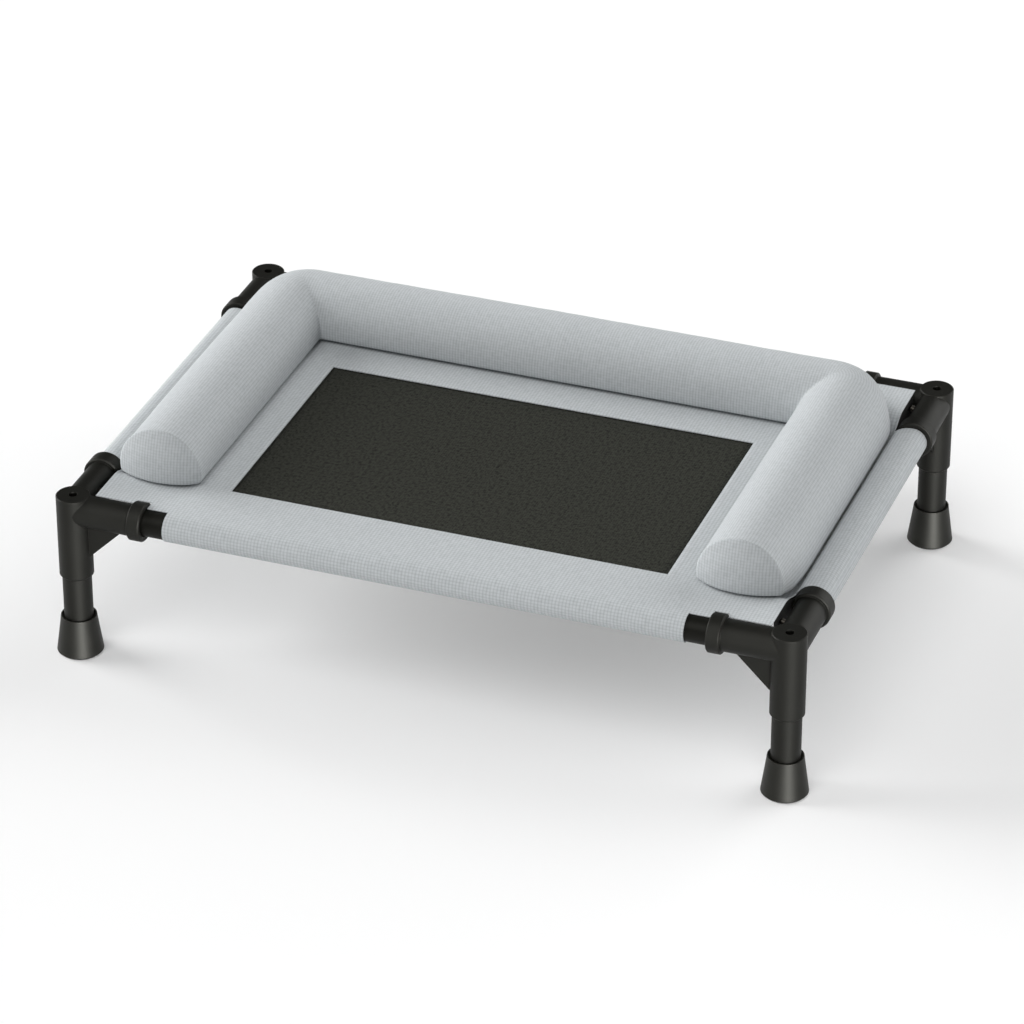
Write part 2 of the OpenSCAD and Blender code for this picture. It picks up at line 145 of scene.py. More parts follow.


# Moulded, coated or rolled surfaces: a fine grain, uneven gloss, a random mottle, and a painted
# highlight that colours the edges a little lighter
def grainedSurface(name, look):
    material, tree, shader = startMaterial(name, look["surface"])
    place = addNode(tree, "ShaderNodeTexCoord")
    grain = addNode(tree, "ShaderNodeTexNoise",
                    {"Vector": place.outputs["Object"], "Scale": 1 / (look["grain"] * mm),
                     "Detail": noiseDetail["grain"]})
    clouds = addNode(tree, "ShaderNodeTexNoise",
                     {"Vector": place.outputs["Object"], "Scale": 1 / (look["clouds"] * mm),
                      "Detail": noiseDetail["cloud"]})
    softEdge = addNode(tree, "ShaderNodeBevel", {"Radius": look["edge"] * mm},
                       samples=edgeFinder["rays"])
    solid = addNode(tree, "ShaderNodeNewGeometry")
    facing = addNode(tree, "ShaderNodeVectorMath",
                     {0: softEdge.outputs[0], 1: solid.outputs["Normal"]}, operation="DOT_PRODUCT")
    # painted highlight: the rounded edges get a lighter colour, as if they caught the light
    mottleAndHighlight = addNode(tree, "ShaderNodeMapRange",
                     {"Value": facing.outputs["Value"], "From Min": edgeFinder["start"],
                      "From Max": edgeFinder["full"], "To Min": 0.0, "To Max": look["edgeHighlight"]})
    # the random mottle, plus the painted highlight on the edges
    mottledAndHighlit = addNode(tree, "ShaderNodeMath",
                   {0: clouds.outputs[0], 1: look["mottle"], 2: mottleAndHighlight.outputs[0]},
                   operation="MULTIPLY_ADD", use_clamp=True)
    colour = addNode(tree, "ShaderNodeMix",
                     {0: mottledAndHighlit.outputs[0], 6: toLinear(look["colour"]), 7: toLinear(look["mottleAndHighlight"])},
                     data_type="RGBA")
    dull, duller = look["roughness"]
    gloss = addNode(tree, "ShaderNodeMapRange",
                    {"Value": clouds.outputs[0], "To Min": dull, "To Max": duller})
    bump = addNode(tree, "ShaderNodeBump",
                   {"Height": grain.outputs[0], "Strength": look["bump"],
                    "Distance": look["grainHeight"] * mm, "Normal": softEdge.outputs[0]})
    tree.links.new(colour.outputs[2], shader.inputs["Base Color"])
    tree.links.new(gloss.outputs[0], shader.inputs["Roughness"])
    tree.links.new(bump.outputs[0], shader.inputs["Normal"])
    return material


# Looks of the materials, with lengths in millimetres. Threads and grains are drawn coarser than
# the real ones, as the picture shows them: canvas thread is really about 0.5 mm apart

# Woven polyester canvas: matt, pale threads over darker gaps
canvasLook = {
    "thread": "#c0c4c6", "gap": "#8a8f91", "pitch": (3.5, 3.3), "lineShare": (0.48, 0.38),
    "threadFlatness": 0.6, "slubLength": 9, "patchSize": 40, "patchShare": 0.3,
    "unevenness": 0.28, "slubHeight": 0.5, "threadHeight": 0.25, "bump": 0.5,
    "surface": {"Roughness": 0.85, "Specular IOR Level": 0.08, "Sheen Weight": 0.04,
                "Sheen Roughness": 0.5},
}
# The same canvas in a ribbed weave, on the bolster: the crossing threads are fainter than the ribs
ribbedLook = dict(canvasLook, thread="#bec2c4", gap="#878b8d", pitch=(3.1, 2.9),
                  lineShare=(0.5, 0.22), slubLength=7, unevenness=0.3)
# Coated polyester mesh, woven and heat-set: dark, with a fine uneven net
meshLook = {
    "thread": "#34352f", "gap": "#0e0f0b", "pitch": (2.3, 2.3), "lineShare": (0.5, 0.5),
    "threadFlatness": 0.6, "slubLength": 3, "patchSize": 4, "patchShare": 1,
    "unevenness": 1.3, "slubHeight": 0.6, "threadHeight": 0.3, "bump": 0.6,
    "surface": {"Roughness": 0.7, "Specular IOR Level": 0.15},
}
# Hook-and-loop tape, woven nylon: a dull ground with a coarse pile
tapeLook = {
    "thread": "#a3a7aa", "gap": "#6c7073", "pitch": (1.6, 1.6), "lineShare": (0.9, 0.9),
    "threadFlatness": 0.5, "slubLength": 8, "patchSize": 20, "patchShare": 1,
    "unevenness": 0.5, "slubHeight": 0.3, "threadHeight": 0.6, "bump": 0.8,
    "surface": {"Roughness": 0.8, "Specular IOR Level": 0.3},
}
# Tape of woven polyester, flat, black and matt: painted shade, hung in the slits beside the arms
shadeTapeLook = dict(tapeLook, thread="#1d1d1a", gap="#0b0b09", pitch=(1.2, 1.2), unevenness=0.3,
                   threadHeight=0.2)
# In the grained looks below, the second colour is the pale tone of the random mottle and of a
# painted highlight on the rounded edges; the number after the edge radius is how strong it is
# Glass-filled nylon, injection-moulded: near black, satin, with a fine spark-eroded grain
nylonLook = {
    "colour": "#0c0c09", "mottleAndHighlight": "#31312b", "grain": 0.7, "grainHeight": 0.12, "clouds": 25,
    "edge": 0.6, "edgeHighlight": 0.5, "mottle": 0.1, "roughness": (0.47, 0.57), "bump": 0.25,
    "surface": {"IOR": 1.53, "Specular IOR Level": 0.17, "Specular Tint": (1, 1, 0.92, 1)},
}
# Powder-coated steel tube: smooth black with a slight orange peel
powderLook = {
    "colour": "#0b0b08", "mottleAndHighlight": "#2c2c27", "grain": 1.4, "grainHeight": 0.1, "clouds": 40,
    "edge": 0.4, "edgeHighlight": 0.4, "mottle": 0.08, "roughness": (0.45, 0.55), "bump": 0.2,
    "surface": {"IOR": 1.5, "Specular IOR Level": 0.17, "Specular Tint": (1, 1, 0.92, 1)},
}
# Natural rubber, press-moulded: dull charcoal, a little dusty
rubberLook = {
    "colour": "#0d0d0a", "mottleAndHighlight": "#3a3a34", "grain": 0.9, "grainHeight": 0.15, "clouds": 18,
    "edge": 0.8, "edgeHighlight": 0.5, "mottle": 0.15, "roughness": (0.45, 0.56), "bump": 0.3,
    "surface": {"IOR": 1.52, "Specular IOR Level": 0.2, "Specular Tint": (1, 1, 0.92, 1)},
}
# Black-oxide steel, turned: dark grey metal, with a painted highlight that makes its rim bright
oxideLook = {
    "colour": "#35332f", "mottleAndHighlight": "#77736b", "grain": 0.5, "grainHeight": 0.05, "clouds": 6,
    "edge": 0.3, "edgeHighlight": 0.5, "mottle": 0.2, "roughness": (0.3, 0.42), "bump": 0.15,
    "surface": {"Metallic": 1.0},
}
# Zinc-plated steel, cold-headed and turned: bright grey metal
zincLook = {
    "colour": "#8d8f90", "mottleAndHighlight": "#c4c6c7", "grain": 0.5, "grainHeight": 0.05, "clouds": 6,
    "edge": 0.25, "edgeHighlight": 0.6, "mottle": 0.3, "roughness": (0.28, 0.42), "bump": 0.15,
    "surface": {"Metallic": 1.0},
}
# Blued spring steel, rolled and bent: dark grey metal
springLook = {
    "colour": "#4c4f54", "mottleAndHighlight": "#8a8d92", "grain": 0.6, "grainHeight": 0.05, "clouds": 8,
    "edge": 0.2, "edgeHighlight": 0.5, "mottle": 0.3, "roughness": (0.3, 0.45), "bump": 0.15,
    "surface": {"Metallic": 1.0},
}
# Spun polyester sewing thread: soft and matt, the tone of the canvas
threadLook = {
    "colour": "#b4b8bb", "mottleAndHighlight": "#d0d4d6", "grain": 0.4, "grainHeight": 0.1, "clouds": 5,
    "edge": 0.1, "edgeHighlight": 0.2, "mottle": 0.5, "roughness": (0.7, 0.85), "bump": 0.4,
    "surface": {"Specular IOR Level": 0.3},
}

canvas = wovenCloth("polyester canvas, woven", canvasLook)
ribbedCanvas = wovenCloth("polyester canvas, rib-woven", ribbedLook)
meshCloth = wovenCloth("polyester mesh, coated", meshLook)
fastenerTape = wovenCloth("nylon hook and loop tape, woven", tapeLook)
shadeTapeFinish = wovenCloth("polyester tape for painted shade, woven", shadeTapeLook)
nylon = grainedSurface("glass-filled nylon, moulded", nylonLook)
powderCoat = grainedSurface("steel tube, powder-coated", powderLook)
rubber = grainedSurface("rubber, press-moulded", rubberLook)
blackOxide = grainedSurface("steel, black oxide", oxideLook)
zinc = grainedSurface("steel, zinc-plated", zincLook)
springSteel = grainedSurface("spring steel, blued", springLook)
thread = grainedSurface("polyester thread, spun", threadLook)

# The first start that fits a solid's name gives its finish
solidFinish = {
    ("corner_", "leg_plugs"): nylon, "leg_screws": zinc,
    ("leg_", "front_rail", "rear_rail", "left_rail", "right_rail"): powderCoat,
    "foot_": rubber, "button_": blackOxide, "spring_": springSteel,
}
for nodeName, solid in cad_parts.items():
    for start, finish in solidFinish.items():
        if nodeName.startswith(start):
            solid.data.materials.clear()
            solid.data.materials.append(finish)
            break
print("solids finished")


def addObject(name, data):
    piece = bpy.data.objects.new(name, data)
    scene.collection.objects.link(piece)
    return piece


# uv is one row for each vertex, or one for each face corner
def meshPiece(name, vertices, faces, uv, material):
    mesh = bpy.data.meshes.new(name)
    mesh.from_pydata([tuple(v) for v in vertices], [], faces)
    uv = np.asarray(uv, dtype=float)
    if len(uv) == len(vertices):
        corners = np.empty(len(mesh.loops), dtype=int)
        mesh.loops.foreach_get("vertex_index", corners)
        uv = uv[corners]
    mesh.uv_layers.new(name="clothFlat").data.foreach_set("uv", uv.ravel())
    mesh.materials.append(material)
    mesh.shade_smooth()
    return addObject(name, mesh)


# Turns the modifiers' result into the piece's own mesh
def applyModifiers(piece):
    evaluated = piece.evaluated_get(bpy.context.evaluated_depsgraph_get())
    finished = bpy.data.meshes.new_from_object(evaluated)
    first = piece.data
    piece.modifiers.clear()
    piece.data = finished
    bpy.data.meshes.remove(first)
    finished.name = piece.name


# Joins coincident points and makes the cloth's upper face point up
def weldSheet(piece):
    work = bmesh.new()
    work.from_mesh(piece.data)
    bmesh.ops.remove_doubles(work, verts=work.verts, dist=samePlace)
    bmesh.ops.recalc_face_normals(work, faces=work.faces)
    highest = max(work.faces, key=lambda face: face.calc_center_median().z)
    if highest.normal.z < 0:
        bmesh.ops.reverse_faces(work, faces=work.faces)
    work.to_mesh(piece.data)
    work.free()


# Gives a sheet its thickness, downwards from its upper face
def thicken(piece, thickness):
    solidify = piece.modifiers.new("thickness", "SOLIDIFY")
    solidify.thickness = thickness
    solidify.offset = -1
    applyModifiers(piece)
    piece.data.set_sharp_from_angle(angle=clothEdge)


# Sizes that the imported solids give
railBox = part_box("front_rail")
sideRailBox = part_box("right_rail")
halfW = -(railBox[0].y + railBox[1].y) / 2
halfL = (sideRailBox[0].x + sideRailBox[1].x) / 2
railZ = (railBox[0].z + railBox[1].z) / 2
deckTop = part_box("hook_strips")[0].z
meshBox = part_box("mesh_panel")
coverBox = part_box("bolster_cover")
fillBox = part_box("bolster_fill_right")

# Deck cloth, in millimetres and degrees; cuts and the groove are measured inwards from the
# rails' axes
deckSizes = {
    "clothT": 0.8, "step": 7,
    "turn": 235, "turnStep": 9, "backBend": 8, "bendSteps": 5,  # round a rail, then level again
    "hem": (10, 16), "hemDrop": (19.5, 1.8),  # of the side sleeves, of the front and rear ones
    "sleeveStart": (101, 85.2),  # front and rear ones along the length, side ones across it
    "cornerCut": 20.6, "armCut": 8.5, "collarCut": 14.6, "collar": (63.4, 78.6), "bareCut": 2.5,
    "meshLap": 12, "fold": 0.85, "foldSteps": 6, "foldHem": 10,
    "grooveReach": 22, "grooveDip": 18, "grooveTurn": 80, "grooveFloor": (24, 30, 52),
    "grooveFade": (160, 196),  # distances from the middle of the width
    "grooveLines": (3, 6, 9, 12, 14.5, 16.5, 18.5, 20, 21, 21.66, 22.4, 23.2, 24, 27, 30, 34, 38,
                    42, 47, 52),
}
clothT = deckSizes["clothT"] * mm
sleeveR = deckTop - railZ
windowX = meshBox[1].x - deckSizes["meshLap"] * mm
windowFront = meshBox[0].y + deckSizes["meshLap"] * mm
windowRear = meshBox[1].y - deckSizes["meshLap"] * mm


# The cloth past a rail's highest line: (length, outwards, up), round the rail and back under
# the sheet
def sleeveProfile(hem, hemDrop):
    turn = math.radians(deckSizes["turn"])
    bend = deckSizes["backBend"] * mm
    steps = round(deckSizes["turn"] / deckSizes["turnStep"])
    angles = np.linspace(0, turn, steps + 1)
    path = [(sleeveR * math.sin(a), sleeveR * math.cos(a)) for a in angles]
    heading = turn - math.pi  # slope of the cloth where it leaves the rail
    rise = sleeveR - hemDrop * mm - path[-1][1] - bend * (1 - math.cos(heading))
    straight = rise / math.sin(heading)
    start = Vector(path[-1])
    slope = Vector((-math.cos(heading), math.sin(heading)))
    path += [tuple(start + slope * straight * share) for share in (0.25, 0.5, 0.75, 1)]
    foot = Vector(path[-1])
    for a in np.linspace(heading, 0, deckSizes["bendSteps"] + 1)[1:]:
        path.append((foot.x - bend * (math.sin(heading) - math.sin(a)),
                     foot.y + bend * (math.cos(a) - math.cos(heading))))
    last = Vector(path[-1])
    path += [(last.x - hem * mm * share, last.y) for share in (0.5, 1)]  # stitched at its middle
    path = np.array(path)
    lengths = np.cumsum(np.linalg.norm(np.diff(path, axis=0), axis=1))
    return np.concatenate(([0], lengths)), path[:, 0], path[:, 1]


sideSleeve, frontSleeve = (sleeveProfile(*hem)
                           for hem in zip(deckSizes["hem"], deckSizes["hemDrop"]))


# Pattern lines from one edge of the cloth to the other, through every cut
def patternLines(half, cuts, sleeve):
    stops = sorted({round(c, 7) for c in cuts if abs(c) < half} | {-half, half})
    lines = []
    for a, b in zip(stops, stops[1:]):
        count = max(1, round((b - a) / (deckSizes["step"] * mm)))
        lines += list(np.linspace(a, b, count + 1)[:-1])
    lines.append(half)
    wrapped = half + sleeve[0][1:]
    return np.concatenate((-wrapped[::-1], lines, wrapped))


# 1 near the middle of the width, fading to 0 between two distances from it, in millimetres
def fadeOut(y, limits):
    start, end = (c * mm for c in limits)
    return (1 + np.cos(np.interp(abs(y), (start, end), (0, math.pi)))) / 2


# The sheet's height: past the side sleeves it turns down into a groove, where the bolster
# presses it
def deckHeight(x, y):
    turn = math.radians(deckSizes["grooveTurn"])
    dip, reach = deckSizes["grooveDip"] * mm, deckSizes["grooveReach"] * mm
    near, flat, far = (c * mm for c in deckSizes["grooveFloor"])
    rollEnd, rollDrop = reach * math.sin(turn), sleeveR * (1 - math.cos(turn))
    inX = halfL - abs(x)
    if inX < rollEnd:
        drop = sleeveR * (1 - math.sqrt(1 - (max(inX, 0) / reach) ** 2))
    elif inX < near:
        share = (inX - rollEnd) / (near - rollEnd)
        drop = rollDrop + (dip - rollDrop) * math.sin(share * math.pi / 2)
    else:
        drop = dip * (1 + math.cos(np.interp(inX, (flat, far), (0, math.pi)))) / 2
    return deckTop - drop * fadeOut(y, deckSizes["grooveFade"])


def deckCloth():
    sleeveX, sleeveY = (s * mm for s in deckSizes["sleeveStart"])
    cornerCut, armCut, collarCut, bareCut = (
        deckSizes[cut] * mm for cut in ("cornerCut", "armCut", "collarCut", "bareCut"))
    collarFrom, collarTo = (c * mm for c in deckSizes["collar"])
    grooveLines = [c * mm for c in deckSizes["grooveLines"]]
    cutsX = [halfL - c for c in [cornerCut, collarFrom, collarTo, sleeveX] + grooveLines]
    cutsX.append(windowX)
    cutsY = [halfW - c for c in (bareCut, armCut, collarCut, sleeveY)]
    linesX = patternLines(halfL, cutsX + [-c for c in cutsX], sideSleeve)
    linesY = patternLines(halfW, cutsY + [-c for c in cutsY] + [windowFront, windowRear],
                          frontSleeve)

    # is there cloth at this place of the pattern?
    def kept(a, b):
        inX, inY = halfL - abs(a), halfW - abs(b)
        if min(inX, inY) < 0:
            return inX > sleeveX or inY > sleeveY
        if abs(a) < windowX and windowFront < b < windowRear:
            return False
        if inX < cornerCut and inY < sleeveY:
            return False
        if inX < collarFrom:
            return inY > armCut
        if inX < collarTo:
            return inY > collarCut
        return inY > (bareCut if inX < sleeveX else 0)

    # where that place of the pattern lies on the cot
    def place(a, b):
        pastX, pastY = abs(a) - halfL, abs(b) - halfW
        if pastX > 0:
            x = math.copysign(halfL + np.interp(pastX, sideSleeve[0], sideSleeve[1]), a)
            return x, b, railZ + np.interp(pastX, sideSleeve[0], sideSleeve[2])
        if pastY > 0:
            y = math.copysign(halfW + np.interp(pastY, frontSleeve[0], frontSleeve[1]), b)
            return a, y, railZ + np.interp(pastY, frontSleeve[0], frontSleeve[2])
        return a, b, deckHeight(a, b)

    vertices, faces, uv, index = [], [], [], {}

    def point(key, position, pattern):
        if key not in index:
            index[key] = len(vertices)
            vertices.append(position)
            uv.append(pattern)
        return index[key]

    for i in range(len(linesX) - 1):
        for j in range(len(linesY) - 1):
            a0, a1, b0, b1 = linesX[i], linesX[i + 1], linesY[j], linesY[j + 1]
            if not kept((a0 + a1) / 2, (b0 + b1) / 2):
                continue
            faces.append([point((p, q), place(linesX[p], linesY[q]), (linesX[p], linesY[q]))
                          for p, q in ((i, j), (i + 1, j), (i + 1, j + 1), (i, j + 1))])

    # the window's edges are folded under
    fold, foldHem = deckSizes["fold"] * mm, deckSizes["foldHem"] * mm
    bends = [(fold * a, fold * math.sin(a), -fold * (1 - math.cos(a)))
             for a in np.linspace(0, math.pi, deckSizes["foldSteps"] + 1)]
    bends.append((bends[-1][0] + foldHem, -foldHem, -2 * fold))
    insideX = [a for a in linesX if abs(a) < windowX + samePlace]
    insideY = [b for b in linesY if windowFront - samePlace < b < windowRear + samePlace]
    for edge, rim, sign, lines in (("front", windowFront, 1, insideX),
                                   ("rear", windowRear, -1, insideX),
                                   ("left", -windowX, 1, insideY),
                                   ("right", windowX, -1, insideY)):
        for i in range(len(lines) - 1):
            for k in range(len(bends) - 1):
                face = []
                for p, q in ((i, k), (i + 1, k), (i + 1, k + 1), (i, k + 1)):
                    length, inwards, up = bends[q]
                    if lines is insideX:
                        spot = (lines[p], rim + sign * inwards, deckTop + up)
                        pattern = (lines[p], rim + sign * length)
                    else:
                        spot = (rim + sign * inwards, lines[p], deckTop + up)
                        pattern = (rim + sign * length, lines[p])
                    face.append(point((edge, p, q), spot, pattern))
                faces.append(face)

    piece = meshPiece("deckCloth", vertices, faces, uv, canvas)
    weldSheet(piece)
    thicken(piece, clothT)
    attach(piece, "frame")
    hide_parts("deck_cover")


# Black tape on the cut edges beside the crosswise arms, in millimetres: it hangs down from the
# edge, as painted shade in the slit between the cloth and the arm
shadeTapeSizes = {"width": 20, "start": 17, "clothT": 0.6, "rows": 4, "lines": 12}


def cornerShadeTape():
    width, rows = shadeTapeSizes["width"] * mm, shadeTapeSizes["rows"]
    start, end = shadeTapeSizes["start"] * mm, deckSizes["sleeveStart"][1] * mm
    cut = deckSizes["cornerCut"] * mm
    ys = np.linspace(halfW - start, halfW - end, shadeTapeSizes["lines"])
    vertices, uv, faces = [], [], []
    for sideX in (-1, 1):
        for sideY in (-1, 1):
            first = len(vertices)
            for y in ys:
                x = sideX * (halfL - cut)
                for down in np.linspace(0, width, rows + 1):
                    vertices.append((x, sideY * y, deckHeight(x, y) - clothT - down))
                    uv.append((down, y))
            for i in range(len(ys) - 1):
                for j in range(rows):
                    a = first + i * (rows + 1) + j
                    faces.append((a, a + 1, a + rows + 2, a + rows + 1))
    piece = meshPiece("cornerShadeTape", vertices, faces, uv, shadeTapeFinish)
    thicken(piece, shadeTapeSizes["clothT"] * mm)
    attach(piece, "frame")
    print("corner shade tape:", len(piece.data.polygons), "faces")


# Mesh panel, in millimetres: it hangs a little below the border and dips where it is sewn to it
panelSizes = {"clothT": 0.5, "step": 7, "sag": 1.2, "drop": 2.0, "gutter": 2.4, "gutterDip": 1.8}


def meshPanel():
    gutter, dip = panelSizes["gutter"] * mm, panelSizes["gutterDip"] * mm
    lap = deckSizes["meshLap"] * mm
    top = deckTop - panelSizes["drop"] * mm
    middleY, halfD = (windowFront + windowRear) / 2, (windowRear - windowFront) / 2

    def lines(half):
        count = round(2 * (half - gutter) / (panelSizes["step"] * mm))
        inner = np.linspace(-half + gutter, half - gutter, count + 1)
        rim = [half - gutter * share for share in (0.75, 0.5, 0.25, 0)]
        rim += [half + lap / 2, half + lap]
        return np.concatenate((-np.array(rim)[::-1], inner, rim))

    xs, ys = lines(windowX), lines(halfD)
    vertices, uv, faces = [], [], []
    for x in xs:
        for y in ys:
            inside = min(windowX - abs(x), halfD - abs(y))
            depth = dip * (1 - abs(inside / gutter * 2 - 1)) if 0 < inside < gutter else 0
            bulge = max(0, 1 - (x / windowX) ** 2) * max(0, 1 - (y / halfD) ** 2)
            sag = bulge * panelSizes["sag"] * mm
            vertices.append((x, middleY + y, top - depth - sag))
            uv.append((x, y))
    for i in range(len(xs) - 1):
        for j in range(len(ys) - 1):
            a = i * len(ys) + j
            faces.append((a, a + len(ys), a + len(ys) + 1, a + 1))
    piece = meshPiece("meshPanel", vertices, faces, uv, meshCloth)
    thicken(piece, panelSizes["clothT"] * mm)
    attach(piece, "frame")
    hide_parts("mesh_panel")
    print("mesh panel:", len(piece.data.polygons), "faces")


# Bolster, in millimetres: sewn a little smaller than it is when stuffed
bolsterSizes = {
    "slack": 0.9, "arcPoints": 38, "basePoints": 18, "step": 5, "cornerRings": 25, "endRings": 9,
    "turnR": 20, "creaseR": 1, "cornerReach": 68,  # round the rear corners
    "endDepth": 12, "endCurve": 2.2, "faceMiddle": 22,  # domes at the front ends
    "seamCrease": 0.8, "baseCrease": 0.25, "seamRidge": 1.0, "ridgeCurve": 0.5,
    # how the outer foot spreads and sinks, and the inner one curls up
    "flare": 6, "flareTop": 28, "flareCurve": 1.85, "flareFade": (125, 196),
    "sag": 10, "sagCurve": 3, "edgeLift": 1.8, "liftCurve": 6,
    # the stuffing's simulation, with kg at each point, and how its result is smoothed and capped
    "pointMass": 0.003, "stiffness": 0.4, "bending": 0.5, "pressure": 10.0,
    "quality": 6, "frames": 20, "evenOut": 6, "cap": 4, "fill": 0.85,
}


# The section, as (towards the inside, up) from the middle of the base, and where its runs lie
def bolsterForm():
    form = SimpleNamespace()
    form.sideX = (fillBox[0].x + fillBox[1].x) / 2
    fullR = coverBox[1].x - form.sideX
    form.rearY = coverBox[1].y - fullR
    form.frontY = coverBox[0].y
    form.baseZ = coverBox[0].z
    form.radius = fullR - bolsterSizes["slack"] * mm
    form.centre = coverBox[1].z - form.baseZ - fullR
    low = math.asin(-form.centre / form.radius)
    angles = np.linspace(low, math.pi - low, bolsterSizes["arcPoints"] + 1)
    arc = np.column_stack((form.radius * np.cos(angles),
                           form.centre + form.radius * np.sin(angles)))
    base = np.linspace(arc[-1, 0], arc[0, 0], bolsterSizes["basePoints"] + 1)[1:-1]
    form.section = np.vstack((arc, np.column_stack((base, np.zeros(len(base))))))
    form.arcCount = len(arc)
    form.halfBase = arc[0, 0]
    # the outer foot spreads towards the rails, and sinks where the deck dips
    across, up = form.section.T
    outer = np.clip(-across / form.halfBase, 0, 1)
    inner = np.clip(across / form.halfBase, 0, 1)
    rise = np.clip(1 - up / (bolsterSizes["flareTop"] * mm), 0, 1) ** bolsterSizes["flareCurve"]
    # the inner foot's edge curls up off the deck
    curl = bolsterSizes["edgeLift"] * mm * inner ** bolsterSizes["liftCurve"]
    form.section[:, 1] += np.where(up > 0, 0, curl)
    form.flare = bolsterSizes["flare"] * mm * rise * outer
    form.sag = bolsterSizes["sag"] * mm * rise * outer ** bolsterSizes["sagCurve"]
    loop = np.vstack((form.section, form.section[:1]))
    lengths = np.cumsum(np.linalg.norm(np.diff(loop, axis=0), axis=1))
    form.around = np.concatenate(([0], lengths))
    return form


# The outer foot sinks only where the deck dips
def sink(form, points):
    points[:, 2] -= form.sag * fadeOut(points[:, 1], deckSizes["grooveFade"])
    return points


# A ring is its points, and the length of the cloth up to each along a side run and the rear run.
# Round a rear corner each point follows its own path: straight, an arc, straight
def cornerRing(form, side, share):
    inward, up = form.section[:, 0] - form.flare, form.section[:, 1]
    reach = bolsterSizes["cornerReach"] * mm
    bend = np.maximum(bolsterSizes["turnR"] * mm - inward, bolsterSizes["creaseR"] * mm)
    run = reach - inward - bend
    arc = bend * math.pi / 2
    gone = share * (2 * run + arc)
    turn = np.clip((gone - run) / bend, 0, math.pi / 2)
    x = form.sideX - inward - bend + bend * np.cos(turn) - np.maximum(gone - run - arc, 0)
    y = form.rearY - reach + np.minimum(gone, run) + bend * np.sin(turn)
    points = sink(form, np.column_stack((side * x, y, form.baseZ + up)))
    left = side * (form.sideX - reach + 2 * run + arc - gone)
    return points, form.rearY - reach + gone, left


# Depth of the domed end behind its foremost point
def endDepthAt(form, x, up):
    square = x * x + up * up
    lifted = up * form.centre
    grow = lifted + np.sqrt(lifted ** 2 + square * (form.radius ** 2 - form.centre ** 2))
    share = np.clip(square / np.maximum(grow, nearZero), 0, 1)
    return bolsterSizes["endDepth"] * mm * share ** bolsterSizes["endCurve"]


def bolsterRings(form):
    reach, step = bolsterSizes["cornerReach"] * mm, bolsterSizes["step"] * mm
    endY = form.frontY + bolsterSizes["endDepth"] * mm
    inward, up = form.section.T
    count = round((form.rearY - reach - endY) / step)
    ys = np.linspace(endY, form.rearY - reach, count + 1)
    shares = np.linspace(0, 1, bolsterSizes["cornerRings"] + 2)[1:-1]
    innerX = form.sideX - reach
    xs = np.linspace(-innerX, innerX, round(2 * innerX / step) + 1)

    # the foot's spread fades out towards the front ends
    def sideRing(side, y):
        spread = form.flare * fadeOut(min(y, 0), bolsterSizes["flareFade"])
        x = side * (form.sideX - inward + spread)
        points = sink(form, np.column_stack((x, np.full(len(x), y), form.baseZ + up)))
        return points, np.full(len(x), y), np.zeros(len(x))

    def rearRing(x):
        xs = np.full(len(inward), x)
        points = np.column_stack((xs, form.rearY - inward + form.flare, form.baseZ + up))
        return points, np.zeros(len(inward)), xs

    rings = [sideRing(-1, y) for y in ys] + [cornerRing(form, -1, s) for s in shares]
    rings += [rearRing(x) for x in xs]
    rings += [cornerRing(form, 1, s) for s in shares[::-1]] + [sideRing(1, y) for y in ys[::-1]]
    mitre = len(ys) + bolsterSizes["cornerRings"] // 2
    # the end seams stand up a little, and the base runs on to the foot of the domed ends
    rounding = np.sin(np.linspace(0, math.pi, form.arcCount))[:, None] ** bolsterSizes["ridgeCurve"]
    for side, ring in ((-1, rings[0]), (1, rings[-1])):
        arc = ring[0][:form.arcCount]
        out = arc - (side * form.sideX, endY, form.baseZ + form.centre)
        out /= np.linalg.norm(out, axis=1, keepdims=True)
        arc += out * bolsterSizes["seamRidge"] * mm * rounding
        foot = slice(form.arcCount, None)
        ring[0][foot, 1] = form.frontY + endDepthAt(form, inward[foot], np.zeros(len(inward[foot])))
    return rings, (mitre, len(rings) - 1 - mitre)


def bolsterMesh(form):
    rings, mitres = bolsterRings(form)
    n = len(form.section)
    vertices = np.vstack([r[0] for r in rings])
    faces, uv = [], []
    for i in range(len(rings) - 1):
        rear = mitres[0] <= i < mitres[1]
        for j in range(n):
            k = (j + 1) % n
            faces.append((i * n + j, i * n + k, (i + 1) * n + k, (i + 1) * n + j))
            for ring, col, step in ((i, j, j), (i, k, j + 1), (i + 1, k, j + 1), (i + 1, j, j)):
                along = rings[ring][2 if rear else 1][col]
                uv.append((along, form.around[step]) if rear else (form.around[step], along))
    # the end faces, in rings that shrink to a point
    middle = bolsterSizes["faceMiddle"] * mm
    for side, seam in ((-1, 0), (1, len(rings) - 1)):
        outline = rings[seam][0]
        across = side * form.sideX - outline[:, 0]
        lift = outline[:, 2] - form.baseZ
        before = np.arange(n) + seam * n
        pattern = np.column_stack((across, lift))
        for ring in range(bolsterSizes["endRings"] + 1):
            share = 1 - (ring + 1) / (bolsterSizes["endRings"] + 1)
            x, z = across * share, middle + (lift - middle) * share
            if share == 0:
                x, z = x[:1], z[:1]
            y = form.frontY + endDepthAt(form, x, z)
            now = len(vertices) + np.arange(len(x))
            added = np.column_stack((side * form.sideX - x, y, form.baseZ + z))
            vertices = np.vstack((vertices, added))
            nowPattern = np.column_stack((x, z))
            for j in range(n):
                k = (j + 1) % n
                if len(x) == 1:
                    faces.append((before[j], before[k], now[0]))
                    uv += [pattern[j], pattern[k], nowPattern[0]]
                else:
                    faces.append((before[j], before[k], now[k], now[j]))
                    uv += [pattern[j], pattern[k], nowPattern[k], nowPattern[j]]
            before, pattern = now, nowPattern
    return vertices, faces, uv, len(rings), mitres


